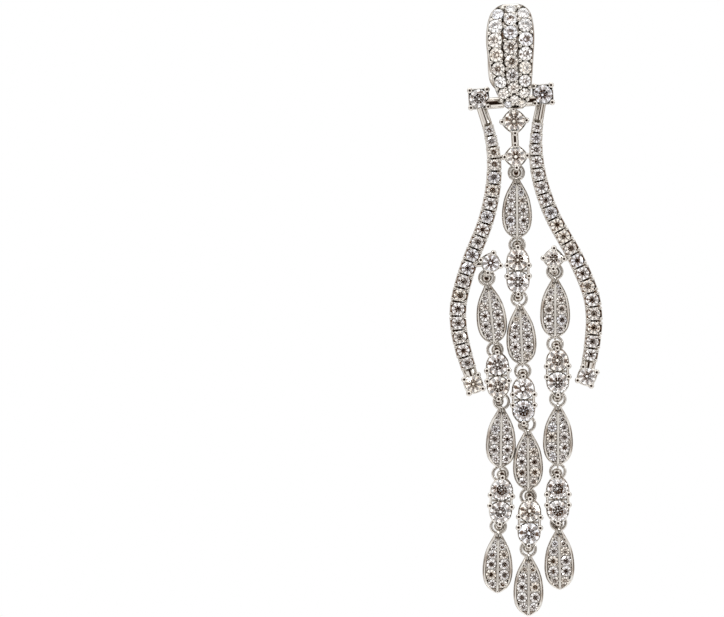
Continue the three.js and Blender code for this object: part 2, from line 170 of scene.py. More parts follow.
def brilliantCut(diameter, cut):
    # round brilliant: table, 8 stars, 8 kites, 16 upper and 16 lower halves, 8 mains and a tiny culet
    radius = diameter / 2
    table, crown = cut["table"] * radius, cut["crown"] * diameter
    girdle, depth = cut["girdle"] * diameter / 2, cut["pavilion"] * diameter
    slope = (crown - girdle) / (radius - table)
    starRadius = table + (radius - table) * cut["star"]
    starHeight = crown - (starRadius * math.cos(math.pi / 8) - table) * slope
    lowRadius = cut["lowerHalf"] * radius
    lowHeight = -depth + lowRadius * math.cos(math.pi / 8) * (depth - girdle) / radius
    eighth = math.pi / 4
    ring = lambda r, z, count, offset=0.0: [
        (r * math.cos(2 * math.pi * k / count + offset), r * math.sin(2 * math.pi * k / count + offset), z)
        for k in range(count)]
    points = (ring(table, crown, 8) + ring(starRadius, starHeight, 8, eighth / 2)
              + ring(radius, girdle, 16) + ring(radius, -girdle, 16)
              + ring(lowRadius, lowHeight, 8, eighth / 2) + [(0, 0, -depth)])
    faces = [tuple(range(8))]
    for k in range(8):
        after, before = (k + 1) % 8, (k - 1) % 8
        g0, g1, g2 = 16 + 2 * k, 17 + 2 * k, 16 + 2 * after
        faces += [(k, after, 8 + k), (k, 8 + k, g0, 8 + before), (8 + k, g1, g0), (8 + k, g2, g1)]
        faces += [(g0, g1, g1 + 16, g0 + 16), (g1, g2, g2 + 16, g1 + 16)]
        faces += [(48 + k, g0 + 16, g1 + 16), (48 + k, g1 + 16, g2 + 16), (56, 48 + before, g0 + 16, 48 + k)]
    return points, faces


def seatBlock(halfX, halfY, top, bottom, seatRadius, settings, sides=24):
    # a small block with a conical seat sunk in its top for one stone
    bevel, foot, square = settings["bevel"], settings["foot"], settings["squareness"]
    rings = [
        outline(halfX * foot, halfY * foot, bottom, sides, square),
        outline(halfX, halfY, top - 2.2 * bevel, sides, square),
        outline(halfX - bevel * 0.35, halfY - bevel * 0.35, top - bevel * 0.5, sides, square),
        outline(halfX - bevel, halfY - bevel, top, sides, square),
        outline(seatRadius, seatRadius, top - settings["dish"], sides),
        outline(seatRadius * 0.5, seatRadius * 0.5, top - settings["seatDepth"], sides),
    ]
    return sweep(rings)


def domeRows(radius, base, top):
    # a burnished grain is a little flatter on top than a ball
    rows = []
    for step in range(6):
        angle = math.radians(15 * step)
        rows.append((radius * math.cos(angle) ** 0.7, base + (top - base) * math.sin(angle) ** 0.7))
    return rows + [(radius * 0.15, top)]


def bead(radius, base, top, sides=10):
    # a raised grain of metal pushed over a stone's edge
    waist = base + 0.35 * (top - base)
    return turned([(radius, base)] + domeRows(radius, waist, top), sides)


def clawProng(settings, sides=12):
    # a tapering claw with a rounded head
    shaft, head, base, tip = (settings[name] for name in ("shaft", "head", "base", "tip"))
    waist = tip - head * 0.75
    rows = [(shaft * 0.75, base), (shaft, min(base + 0.3, waist - head)), (shaft, waist - head * 0.7),
            (head * 0.9, waist - head * 0.3)]
    return turned(rows + domeRows(head, waist, tip), sides)


def at(x, y, z=0.0, turn=0.0):
    return Matrix.Translation((x, y, z)) @ Matrix.Rotation(turn, 4, "Z")


def makePiece(name, shape, material, body, replaced=(), smoothAngle=38):
    mesh = bpy.data.meshes.new(name)
    mesh.from_pydata((np.vstack(shape["points"]) * mm).tolist(), [], shape["faces"])
    tints = mesh.attributes.new("stoneTint", "FLOAT", "FACE")
    tints.data.foreach_set("value", shape["tints"])
    work = bmesh.new()
    work.from_mesh(mesh)
    bmesh.ops.recalc_face_normals(work, faces=work.faces)
    work.to_mesh(mesh)
    work.free()
    if smoothAngle:
        mesh.polygons.foreach_set("use_smooth", [True] * len(mesh.polygons))
        mesh.set_sharp_from_angle(angle=math.radians(smoothAngle))
    mesh.materials.append(material)
    piece = bpy.data.objects.new(name, mesh)
    bpy.context.scene.collection.objects.link(piece)
    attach(piece, body)
    if replaced:
        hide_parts(*replaced)
    return piece


# materials

def linearColour(hexText):
    shares = [int(hexText[i:i + 2], 16) / 255 for i in (1, 3, 5)]
    return tuple(c / 12.92 if c <= 0.04045 else ((c + 0.055) / 1.055) ** 2.4 for c in shares) + (1.0,)


def addNode(tree, kind, settings=None, links=None):
    node = tree.nodes.new(kind)
    for name, value in (settings or {}).items():
        if isinstance(name, int) or name in node.inputs:
            node.inputs[name].default_value = value
        else:
            setattr(node, name, value)
    for name, source in (links or {}).items():
        tree.links.new(source, node.inputs[name])
    return node


def newMaterial(name):
    material = bpy.data.materials.new(name)
    material.use_nodes = True
    material.node_tree.nodes.clear()
    return material, material.node_tree


# Rhodium plated white gold, cast and then polished by hand: a bright grey mirror, a little warm, with
# faint softer patches left by the polishing felt and hairlines too fine to see one by one.
whiteGold = {
    "colour": "#cdcac5", "wornColour": "#aea9a2", "roughness": 0.05, "softRoughness": 0.13,
    "patchMm": 1.6, "hairlineMm": 0.12, "hairlineDepthMm": 0.0006,
}


def makeWhiteGold():
    material, tree = newMaterial("polishedWhiteGold")
    space = addNode(tree, "ShaderNodeTexCoord").outputs["Object"]
    patches = addNode(tree, "ShaderNodeTexNoise",
                      {"Scale": 1 / (whiteGold["patchMm"] * mm), "Detail": 3.0}, {"Vector": space})
    soft = addNode(tree, "ShaderNodeMapRange", {
        "From Min": 0.35, "From Max": 0.7,
        "To Min": whiteGold["roughness"], "To Max": whiteGold["softRoughness"],
    }, {"Value": patches.outputs["Fac"]})
    colour = addNode(tree, "ShaderNodeMix", {"data_type": "RGBA"}, {"Factor": patches.outputs["Fac"]})
    colour.inputs[6].default_value = linearColour(whiteGold["colour"])
    colour.inputs[7].default_value = linearColour(whiteGold["wornColour"])
    stretched = addNode(tree, "ShaderNodeMapping", {"Scale": (1.0, 1.0, 6.0)}, {"Vector": space})
    hairlines = addNode(tree, "ShaderNodeTexNoise",
                        {"Scale": 1 / (whiteGold["hairlineMm"] * mm) / 3, "Detail": 2.0},
                        {"Vector": stretched.outputs["Vector"]})
    bump = addNode(tree, "ShaderNodeBump",
                   {"Distance": whiteGold["hairlineDepthMm"] * mm, "Strength": 0.5},
                   {"Height": hairlines.outputs["Fac"]})
    shader = addNode(tree, "ShaderNodeBsdfPrincipled", {"Metallic": 1.0}, {
        "Base Color": colour.outputs[2], "Roughness": soft.outputs["Result"],
        "Normal": bump.outputs["Normal"],
    })
    addNode(tree, "ShaderNodeOutputMaterial", links={"Surface": shader.outputs["BSDF"]})
    return material


# Diamond, cut and polished on a wheel: clear, with a very high IOR that turns the light back out of the
# front. Near-white goods differ a little, from faintly yellow or brown to faintly blue.
diamond = {"clear": "#fdfdfd", "warm": "#faf3e6", "cool": "#f3f6fd", "ior": 2.42, "roughness": 0.0}


def makeDiamond():
    material, tree = newMaterial("cutDiamond")
    tint = addNode(tree, "ShaderNodeAttribute", {"attribute_name": "stoneTint"})
    ramp = addNode(tree, "ShaderNodeValToRGB", links={"Fac": tint.outputs["Fac"]})
    stops = ramp.color_ramp.elements
    stops[0].position, stops[0].color = 0.0, linearColour(diamond["clear"])
    stops[1].position, stops[1].color = 1.0, linearColour(diamond["cool"])
    stops.new(0.55).color = linearColour(diamond["clear"])
    stops.new(0.8).color = linearColour(diamond["warm"])
    shader = addNode(tree, "ShaderNodeBsdfPrincipled", {
        "IOR": diamond["ior"], "Roughness": diamond["roughness"], "Transmission Weight": 1.0,
    }, {"Base Color": ramp.outputs["Color"]})
    addNode(tree, "ShaderNodeOutputMaterial", links={"Surface": shader.outputs["BSDF"]})
    return material


goldFinish = makeWhiteGold()
diamondFinish = makeDiamond()
print("materials made")


# where things are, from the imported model

def middleOf(node):
    low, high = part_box(node)
    return (Vector(low) + Vector(high)) / (2 * mm)


toFront = Vector((0, -1, 0))


def facingFrame(origin, up):
    # millimetre axes of a flat piece: x across it, y up it, z out to the front
    y = (up - toFront * up.dot(toFront)).normalized()
    x = y.cross(toFront)
    return Matrix.Translation(origin) @ Matrix((x, y, toFront)).transposed().to_4x4()


ringDepth = 0.35  # how far the jump rings lie behind the drop's middle plane
middleDepth = middleOf("middle_leaf_1_ring_upper").y - ringDepth
hinge = frame["joints"][0]
hingePoint = Vector(hinge["pos_m"]) / mm
hingeAlong = Vector(hinge["axis"]).normalized()
frameOrigin = Vector((hingePoint.x, middleDepth, hingePoint.z))
frameAxes = facingFrame(frameOrigin, toFront.cross(hingeAlong))
toFrame = frameAxes.inverted()

cut = {"table": 0.56, "crown": 0.15, "girdle": 0.025, "pavilion": 0.43, "star": 0.52, "lowerHalf": 0.24}
girdleOut = 0.62  # the larger stones' girdles, in front of the middle plane


def eachCut():
    # no two stones are cut to quite the same depth
    return dict(cut, pavilion=cut["pavilion"] + random.uniform(-0.012, 0.01),
                table=cut["table"] + random.uniform(-0.03, 0.03))


def setByHand(spin, tilt):
    # hand-set stones never lie quite level, so each one flashes in its own way
    lean = Matrix.Rotation(math.radians(random.uniform(-tilt, tilt)), 4, "X")
    roll = Matrix.Rotation(math.radians(random.uniform(-tilt, tilt)), 4, "Y")
    return lean @ roll @ Matrix.Rotation(spin, 4, "Z")


def stoneShade():
    return random.choice((0.0, 0.1, 0.3, 0.55, 0.7, 0.8, 1.0))


# the frame: arms, bar, collets

arms = {
    # rows of drop below the hinge, distance out from the frame's axis, width
    "route": [
        (0.2, 3.6, 1.15), (3.4, 2.82, 1.35), (6.6, 2.5, 1.65), (10.1, 2.87, 1.8), (14.0, 4.02, 1.85),
        (18.8, 6.27, 1.9), (22.9, 7.72, 1.95), (25.9, 8.03, 1.95), (28.9, 7.66, 1.9), (32.1, 6.9, 1.65),
    ],
    "plainTop": 2.5, "plainEnd": 0.9, "pitch": 0.94, "stone": 0.8, "groove": 0.12,
    "blockTop": 0.6, "blockBottom": -0.1, "spineBack": -0.85, "spineFront": 0.12, "spineShare": 0.92,
    "girdle": 0.62, "beadRadius": 0.2, "beadTop": 0.88, "stubSquareness": 1.6, "spineSquareness": 5,
}
seat = {"bevel": 0.07, "foot": 0.94, "seatDepth": 0.62, "squareness": 9, "dish": 0.04}


def armSamples(side):
    rows = smoothPath([(side * out, -drop, width) for drop, out, width in arms["route"]], 40)
    steps = np.linalg.norm(np.diff(rows[:, :2], axis=0), axis=1)
    return rows, np.concatenate([[0], np.cumsum(steps)])


def alongArm(samples, distance):
    rows, lengths = samples
    u, w, width = (np.interp(distance, lengths, rows[:, i]) for i in range(3))
    ahead = [np.interp(distance + 0.05, lengths, rows[:, i]) for i in range(2)]
    behind = [np.interp(distance - 0.05, lengths, rows[:, i]) for i in range(2)]
    # the turn that lays a piece's own up direction back along the arm
    turn = math.atan2(behind[1] - ahead[1], behind[0] - ahead[0]) - math.pi / 2
    return u, w, width, turn


def addArm(metal, stones, side):
    samples = armSamples(side)
    total = samples[1][-1]
    spine = []
    for distance in np.linspace(0, total, 90):
        u, w, width, turn = alongArm(samples, min(max(distance, 0.06), total - 0.06))
        plain = distance < arms["plainTop"] or distance > total - arms["plainEnd"]
        half = width / 2 * (1.0 if plain else arms["spineShare"])
        front, back = (arms["blockTop"] + 0.1 if plain else arms["spineFront"]), arms["spineBack"]
        square = arms["stubSquareness" if plain else "spineSquareness"]
        place = at(u, w, (front + back) / 2, turn)
        spine.append([tuple(place @ Vector((x, 0, out)))
                      for x, out, _ in outline(half, (front - back) / 2, 0.0, 20, square)])
    addPart(metal, sweep(spine), frameAxes)
    run = total - arms["plainTop"] - arms["plainEnd"]
    pitches = []
    while sum(pitches) < run:
        width = alongArm(samples, arms["plainTop"] + sum(pitches))[2]
        pitches.append((0.5 + 0.7 * width) * arms["pitch"])
    scale = run / sum(pitches)
    start = arms["plainTop"]
    for pitch in pitches:
        length = pitch * scale
        u, w, width, turn = alongArm(samples, start + length / 2)
        start += length
        diameter = min(arms["stone"] * width, length - arms["groove"] - 0.06)
        place = frameAxes @ at(u, w, 0, turn)
        halfUp = (length - arms["groove"]) / 2
        addPart(metal, seatBlock(width / 2, halfUp, arms["blockTop"], arms["blockBottom"],
                                 diameter / 2 * 0.97, seat), place)
        x, y = width / 2 - arms["beadRadius"] * 0.85, halfUp - arms["beadRadius"] * 0.7
        for across in (-x, x):
            for up in (-y, y):
                addPart(metal, bead(arms["beadRadius"], arms["blockTop"] - 0.1, arms["beadTop"]),
                        place @ at(across, up))
        lay = at(0, 0, arms["girdle"]) @ setByHand(random.uniform(0, math.pi / 4), 4)
        addPart(stones, brilliantCut(diameter, eachCut()), place @ lay, stoneShade())


claws = {"shaft": 0.2, "head": 0.34, "tip": 1.05, "base": -0.25, "lipBase": 0.42}
collets = {
    "round": {"lip": 0.33, "squareness": 1.45, "front": 0.58, "back": -0.15, "taper": 0.62, "wall": 0.2,
              "reach": 0.25},
    "square": {"lip": 0.14, "front": 0.56, "back": -0.75, "reach": 0.34,
               "bevel": 0.08, "foot": 0.86, "seatDepth": 1.0, "squareness": 6, "dish": 0.2},
    "nearHinge": -1.0,  # height in the frame's axes above which a claw is beside the hinge
    # rows of CAD stone, kind of cup, turn of the claws in degrees, and for a cup that carries a strand
    # how far its strap stands past the claw and the jump ring on it
    "rows": [
        ("stone_top_left", "square", 45, None), ("stone_top_right", "square", 45, None),
        ("stone_middle_upper", "round", 0, None),
        ("stone_middle_lower", "round", 0, (0.12, "middle_leaf_1_ring_upper")),
        ("stone_strand_left", "round", 70, (0.35, "left_leaf_1_ring_upper")),
        ("stone_strand_right", "round", 84, (0.35, "right_leaf_1_ring_upper")),
        ("stone_end_left", "round", 60, None), ("stone_end_right", "round", 19, None),
    ],
}
backStrap = {"halfWidth": 0.42, "half": 0.12, "depth": -0.78, "root": 0.35, "bend": 0.18, "bail": 0.66}


def strap(knots):
    # a flat strap along points of height and depth
    path = smoothPath(knots, 6)
    rings = []
    for place, (y, out) in enumerate(path):
        before, after = path[max(place - 1, 0)], path[min(place + 1, len(path) - 1)]
        slope = math.atan2(after[1] - before[1], after[0] - before[0])
        c, s = math.cos(slope), math.sin(slope)
        rings.append([(x, y - thick * s, out + thick * c)
                      for x, thick, _ in outline(backStrap["halfWidth"], backStrap["half"], 0.0, 12, 2.2)])
    return sweep(rings)


def hookKnots(root, hold):
    # out of the front metal, through a jump ring, and back behind it
    depth, bend = backStrap["depth"], backStrap["bend"]
    return [(root, backStrap["root"]), (hold, -0.1), (hold, depth + bend), (hold - bend, depth)]


def bailPlate():
    # a small domed plate on the strap, which the jump ring's hole frames
    r, out = backStrap["bail"], backStrap["depth"]
    rows = [(r * 0.9, out - 0.1), (r, out - 0.05), (r, out), (r * 0.93, out + 0.06), (r * 0.75, out + 0.13),
            (r * 0.5, out + 0.19), (r * 0.2, out + 0.22)]
    return turned(rows, 24)


def cup(radius, settings, sides=48):
    # an open setting for a round stone: a squareness under 2 draws its lip out to a corner at each claw
    top, bottom = settings["front"], settings["back"]
    foot, wall = radius * settings["taper"], settings["wall"]
    rings = []
    for x, y, _ in outline(1.0, 1.0, 0.0, sides, settings["squareness"]):
        reach = math.hypot(x, y)
        outer = (radius + settings["lip"]) * reach
        profile = [(outer - 0.03, top - 0.1), (outer, top - 0.16), (outer, top - 0.32), (foot, bottom),
                   (foot - wall, bottom), (radius * 0.9, top - 0.3), (radius * 0.99, top - 0.03),
                   (radius + 0.03, top)]
        rings.append([(r * x / reach, r * y / reach, height) for r, height in profile])
    return sweep(rings, loop=True)


def addCollet(metal, node, form, turnDegrees, carried):
    low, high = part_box(node)
    radius = (high.z - low.z) / mm / 2
    middle = toFrame @ middleOf(node)
    turn = math.radians(turnDegrees)
    place = frameAxes @ at(middle.x, middle.y)
    kind = collets[form]
    if form == "square":
        half = radius + kind["lip"]
        addPart(metal, seatBlock(half, half, kind["front"], kind["back"], radius * 0.98, kind, 32), place)
    else:
        addPart(metal, cup(radius, kind), place @ at(0, 0, 0, turn))
    reach = radius + kind["reach"]
    for quarter in range(4):
        angle = turn + quarter * math.pi / 2
        x, y = reach * math.cos(angle), reach * math.sin(angle)
        # beside the hinge a claw starts at the lip, clear of the tongue's loop
        nearHinge = middle.y + y > collets["nearHinge"]
        settings = dict(claws, base=claws["lipBase"]) if nearHinge else claws
        addPart(metal, clawProng(settings), place @ at(x, y))
    if carried:
        hold, ring = carried
        hung = toFrame @ middleOf(ring) - middle
        # the claw that points most nearly down carries the ring
        down = turn + math.pi / 2 * round((-math.pi / 2 - turn) / (math.pi / 2)) - math.pi / 2
        knots = hookKnots(reach, reach + hold) + [(0.2, backStrap["depth"]), (-0.4, -0.45), (-0.7, -0.1)]
        addPart(metal, strap(knots), place @ Matrix.Rotation(down, 4, "Z"))
        addPart(metal, bailPlate(), place @ at(hung.x, hung.y))


frameBars = {
    "shoulder": 0.66, "shoulderInner": 0.85, "shoulderOuter": 3.0, "pin": 0.35, "squareness": 2.6,
    # soldered bars: from and to in the frame's axes, radius
    "bars": [
        ((0.17, -3.2), (0.12, -5.7), 0.42),
        ((-2.2, -6.5), (-0.95, -6.5), 0.28), ((1.1, -6.5), (2.2, -6.5), 0.28),
        ((-5.75, -18.95), (-4.5, -18.85), 0.32), ((4.5, -18.85), (5.75, -18.95), 0.32),
    ],
    "barOut": 0.2, "barSquareness": 3,
}


def addBars(metal):
    b = frameBars
    out = middleDepth - hingePoint.y
    rows = [(b["shoulderOuter"], 0.5), (b["shoulderOuter"] - 0.05, b["shoulder"]),
            (b["shoulderInner"] + 0.1, b["shoulder"]), (b["shoulderInner"], b["shoulder"] - 0.1),
            (b["shoulderInner"], b["pin"])]
    profile = [(-x, r) for x, r in rows] + [(x, r) for x, r in reversed(rows)]
    rings = []
    for x, radius in profile:
        rings.append(outline(radius, radius, x, 28, b["squareness"] if radius > b["pin"] else 2))
    lay = Matrix.Translation((0, 0, out)) @ Matrix.Rotation(math.pi / 2, 4, "Y")
    addPart(metal, sweep(rings), frameAxes @ lay)
    for (u0, w0), (u1, w1), radius in b["bars"]:
        turn = math.atan2(w1 - w0, u1 - u0) - math.pi / 2
        section = outline(radius, radius, 0.0, 20, b["barSquareness"])
        rings = [[(x, along, out) for x, out, _ in section] for along in (0.0, math.hypot(u1 - u0, w1 - w0))]
        addPart(metal, sweep(rings), frameAxes @ at(u0, w0, b["barOut"], turn))


frameMetal, frameStones = newShape(), newShape()
for side in (-1, 1):
    addArm(frameMetal, frameStones, side)
addBars(frameMetal)
for row in collets["rows"]:
    addCollet(frameMetal, *row)
makePiece("frameArmsAndCollets", frameMetal, goldFinish, "drop", ["drop_frame"])
makePiece("frameArmStones", frameStones, diamondFinish, "drop", smoothAngle=0)
print("frame made")


# single stones of the collets and twin links

def addSingleStone(node, up, turn=0.0):
    low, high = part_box(node)
    diameter = (high.z - low.z) / mm
    middle = middleOf(node)
    origin = Vector((middle.x, middleDepth, middle.z))
    shape = newShape()
    place = facingFrame(origin, up) @ at(0, 0, girdleOut) @ setByHand(turn, 1.5)
    addPart(shape, brilliantCut(diameter, eachCut()), place, stoneShade())
    makePiece(node.replace("stone", "gem"), shape, diamondFinish, "drop", [node], smoothAngle=0)


frameUp = toFront.cross(hingeAlong)
for node, _, turnDegrees, _ in collets["rows"]:
    addSingleStone(node, frameUp, math.radians(turnDegrees + 22.5))


# twin links: two stones in one setting with six claws

twin = {
    "halfWidth": 1.4, "halfLength": 2.98, "railTop": 0.45, "railBottom": -0.05, "railWidth": 0.24,
    "cup": {"lip": 0.13, "squareness": 2, "front": 0.56, "back": -0.05, "taper": 0.66, "wall": 0.16},
    "sideAngle": 62, "reach": 0.23, "strap": (2.9, 2.95), "webHalf": 0.9, "webWire": 0.16,
    # upper right quarter of the outline: share of the half width, share of the half length
    "outline": [(0.0, 1.0), (0.24, 0.985), (0.5, 0.86), (0.74, 0.74), (0.95, 0.5), (1.0, 0.24), (0.97, 0.0)],
    "claws": {"shaft": 0.2, "head": 0.35, "tip": 1.05, "base": -0.25},
}


def twinOutline(inset):
    # right half from top to bottom, then the left half back up
    a, b = twin["halfWidth"] - inset, twin["halfLength"] - inset
    right = [(across * a, along * b) for across, along in twin["outline"]]
    right += [(x, -y) for x, y in reversed(right[:-1])]
    closed = right + [(-x, y) for x, y in reversed(right[1:-1])]
    knots = closed[-2:] + closed + closed[:2]
    return smoothPath(knots, 4)[8:-8]


def addTwin(strand, number):
    name = f"{strand}_twin_{number}"
    upper, lower = middleOf(name + "_stone_upper"), middleOf(name + "_stone_lower")
    up = (upper - lower).normalized()
    middle = (upper + lower) / 2
    place = facingFrame(Vector((middle.x, middleDepth, middle.z)), up)
    spread = (upper - lower).length / 2
    low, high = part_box(name + "_stone_upper")
    radius = (high.x - low.x) / mm / 2
    metal = newShape()
    t = twin
    outer, inner = twinOutline(0.0), twinOutline(t["railWidth"])
    rings = []
    for (ox, oy), (ix, iy) in zip(outer, inner):
        mx, my = ox + (ix - ox) * 0.4, oy + (iy - oy) * 0.4
        rings.append([(ox * 0.93, oy * 0.96, t["railBottom"]), (ox, oy, t["railTop"] - 0.16),
                      (mx, my, t["railTop"]), (ix, iy, t["railTop"] - 0.08),
                      (ix * 0.93, iy * 0.96, t["railBottom"])])
    addPart(metal, sweep(rings, loop=True), place)
    for sign in (1, -1):
        addPart(metal, cup(radius, t["cup"]), place @ at(0, sign * spread))
    web = [(-t["webHalf"], 0, 0.1), (t["webHalf"], 0, 0.1)]
    addPart(metal, wire(web, t["webWire"]), place)
    reach = radius + t["reach"]
    angle = math.radians(t["sideAngle"])
    spots = [(0, spread + reach), (0, -spread - reach)]
    for sign in (1, -1):
        for across in (1, -1):
            spots.append((across * reach * math.sin(angle), sign * (spread - reach * math.cos(angle))))
    for x, y in spots:
        addPart(metal, clawProng(t["claws"]), place @ at(x, y))
    half = hookKnots(*t["strap"])
    addPart(metal, strap(half + [(-y, out) for y, out in reversed(half)]), place)
    for sign in (1, -1):
        addPart(metal, bailPlate(), place @ at(0, sign * (t["strap"][1] + 0.1)))
    makePiece(f"twinSetting_{strand}_{number}", metal, goldFinish, "drop", [name])
    for which in ("upper", "lower"):
        addSingleStone(f"{name}_stone_{which}", up, math.radians(random.uniform(0, 45)))


# leaves: a deep dish with a rim, a raised rib and a row of stones on each side

leaf = {
    "length": 7.0, "halfWidth": 1.78, "ringBeyond": 0.78, "eyeRadius": 0.34, "eyeWire": 0.11,
    # rows of share along from the top, share of the half width, back depth
    "sections": [
        (0.0, 0.2, -0.05), (0.05, 0.3, -0.1), (0.12, 0.46, -0.3), (0.22, 0.67, -0.55),
        (0.34, 0.85, -0.68), (0.48, 0.96, -0.75), (0.62, 1.0, -0.75), (0.73, 0.97, -0.66),
        (0.83, 0.87, -0.46), (0.91, 0.68, -0.22), (0.96, 0.46, -0.1), (1.0, 0.22, -0.05),
    ],
    "rimTop": 0.68, "rimInset": 0.23, "rimWidth": 0.1, "floor": 0.0, "ribHalf": 0.12, "ribTop": 0.75,
    "blockTop": 0.36, "girdle": 0.4, "stoneMax": 1.2, "cellMin": 0.62, "firstCell": 0.09, "lastCell": 0.93,
    "grain": 0.1, "grainTop": 0.17, "tipBead": 0.24, "tipTop": 0.66, "tipInset": 0.12,
}
leafSeat = {"bevel": 0.04, "foot": 0.96, "seatDepth": 0.35, "squareness": 7, "dish": 0.0}


def leafSections():
    return smoothPath(leaf["sections"], 5)


def leafRing(share, half, back):
    # one closed section across the leaf, from the back round the right side to the front and the left
    half = half * leaf["halfWidth"]
    ends = min(1.0, 5.0 * min(share, 1 - share) + 0.35)
    rimTop = leaf["rimTop"] * (0.55 + 0.45 * ends)
    inset = min(leaf["rimInset"], half * 0.35)
    rim = min(leaf["rimWidth"], half * 0.2)
    rib = min(leaf["ribHalf"], half * 0.12)
    inner = half - inset - rim
    floor = leaf["floor"] if ends >= 1 else leaf["floor"] + (1 - ends) * 0.35
    ribTop = leaf["ribTop"] * (0.6 + 0.4 * ends)
    right = [
        (half * 0.35, back), (half * 0.68, back * 0.86), (half * 0.9, back * 0.5),
        (half * 0.99, back * 0.12), (half, 0.12),
        (half - inset * 0.1, rimTop * 0.68), (half - inset * 0.35, rimTop * 0.82),
        (half - inset, rimTop * 0.96), (half - inset - rim * 0.4, rimTop), (inner, rimTop - 0.05),
        (inner - 0.02, floor + 0.1), (inner - 0.05, floor), (rib + 0.06, floor), (rib + 0.03, floor + 0.1),
        (rib, ribTop - 0.12), (rib * 0.96, ribTop - 0.07), (rib * 0.1, ribTop),
    ]
    y = (0.5 - share) * leaf["length"]
    left = [(-x, z) for x, z in reversed(right)]
    return [(x, y, z) for x, z in right + left]


def halfAt(share):
    rows = leafSections()
    return float(np.interp(share, rows[:, 0], rows[:, 1])) * leaf["halfWidth"]


def leafCells():
    # stones run down each half; every cell is as long as the channel there is wide
    start, end = leaf["firstCell"], leaf["lastCell"]
    shares = []
    here = start
    while here < end - 0.04:
        width = halfAt(here + 0.06) - leaf["rimInset"] - leaf["rimWidth"] - leaf["ribHalf"]
        size = max(leaf["cellMin"], min(leaf["stoneMax"] + 0.06, width * 0.98)) / leaf["length"]
        shares.append((here, size))
        here += size
    scale = (end - start) / (here - start)
    return [(start + (share + size / 2 - start) * scale, size * scale * leaf["length"])
            for share, size in shares]


def addLeaf(strand, number):
    name = f"{strand}_leaf_{number}"
    ringTop = middleOf(name + "_ring_upper")
    hasLower = name + "_ring_lower" in frame["nodes"]
    if hasLower:
        up = (ringTop - middleOf(name + "_ring_lower")).normalized()
    else:
        low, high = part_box(name)
        widest = Vector(((low.x + high.x) / 2, 0, 0)) / mm
        drop = leaf["ringBeyond"] + leaf["length"] * 0.6
        lean = math.asin((ringTop.x - widest.x) / drop)
        up = Vector((math.sin(lean), 0, math.cos(lean)))
    reach = leaf["length"] / 2 + leaf["ringBeyond"]
    middle = ringTop - up * reach
    place = facingFrame(Vector((middle.x, middleDepth, middle.z)), up)
    metal, stones = newShape(), newShape()
    addPart(metal, sweep([leafRing(*row) for row in leafSections()]), place)
    eyeAt, eye = reach - jumpRing["radius"], leaf["eyeRadius"]
    for sign in (1, -1) if hasLower else (1,):
        path = [(0, sign * eyeAt + eye * math.cos(a), -ringDepth + eye * math.sin(a))
                for a in np.linspace(0, 2 * math.pi, 20, endpoint=False)]
        addPart(metal, wire(path, leaf["eyeWire"], 8, loop=True), place)
    for share, size in leafCells():
        half = halfAt(share)
        inset = min(leaf["rimInset"], half * 0.35) + leaf["rimWidth"]
        width = half - inset - leaf["ribHalf"]
        centre = leaf["ribHalf"] + width / 2
        diameter = min(size * 0.97, width * 0.97, leaf["stoneMax"])
        y = (0.5 - share) * leaf["length"]
        for across in (-1, 1):
            spot = place @ at(across * centre, y)
            block = seatBlock(width / 2 + 0.02, size / 2 - 0.015, leaf["blockTop"], leaf["floor"] - 0.1,
                              diameter / 2 * 0.97, leafSeat, 16)
            addPart(metal, block, spot)
            grain = bead(leaf["grain"], leaf["blockTop"] - 0.05, leaf["blockTop"] + leaf["grainTop"], 7)
            for end in (-1, 1):
                for side in (-1, 1):
                    corner = at(side * (width / 2 - 0.08), end * (size / 2 - 0.07))
                    addPart(metal, grain, spot @ corner)
            lay = at(0, 0, leaf["girdle"]) @ setByHand(random.uniform(0, math.pi / 4), 5)
            addPart(stones, brilliantCut(diameter, eachCut()), spot @ lay, stoneShade())
    tipY = -leaf["length"] / 2 + leaf["tipInset"]
    addPart(metal, bead(leaf["tipBead"], 0.1, leaf["tipTop"], 12), place @ at(0, tipY))
    makePiece(f"leafDish_{strand}_{number}", metal, goldFinish, "drop", [name])
    makePiece(f"leafStones_{strand}_{number}", stones, diamondFinish, "drop", smoothAngle=0)


jumpRing = {"radius": 0.86, "wire": 0.18}


def addJumpRing(node):
    middle, radius = middleOf(node), jumpRing["radius"]
    path = [(middle.x + radius * math.cos(a), middle.y, middle.z + radius * math.sin(a))
            for a in np.linspace(0, 2 * math.pi, 40, endpoint=False)]
    shape = newShape()
    addPart(shape, wire(path, jumpRing["wire"], 12, loop=True))
    makePiece("jumpRing_" + node, shape, goldFinish, "drop", [node])


for strand, leaves in (("middle", 4), ("left", 3), ("right", 3)):
    for number in range(1, leaves + 1):
        addLeaf(strand, number)
        if number < leaves:
            addTwin(strand, number)
for node in sorted(frame["nodes"]):
    if "_ring_" in node:
        addJumpRing(node)
print("strands made")


# the tongue on the ear's front, and the clasp behind

tongue = {
    # rows of height, half width, front and back (out from the back face)
    "sections": [
        (2.62, 0.95, 0.0, -0.5), (2.3, 1.65, 0.65, -0.35), (1.5, 2.35, 1.25, -0.15), (0.2, 2.72, 1.75, 0.0),
        (-1.6, 2.85, 2.05, 0.0), (-3.6, 2.7, 2.15, 0.0), (-5.8, 2.42, 2.05, 0.0), (-7.5, 2.12, 1.8, 0.05),
        (-8.6, 1.75, 1.5, 0.15), (-9.3, 1.4, 1.25, 0.25), (-9.8, 0.85, 1.0, 0.4),
    ],
    "lean": 2.6, "bow": 0.3, "power": 2.78, "rim": 0.16, "recess": 0.8,
    "stoneShare": 0.575, "gap": 0.1, "top": 2.0, "last": -9.25, "cupLip": 0.08, "bead": 0.26,
}
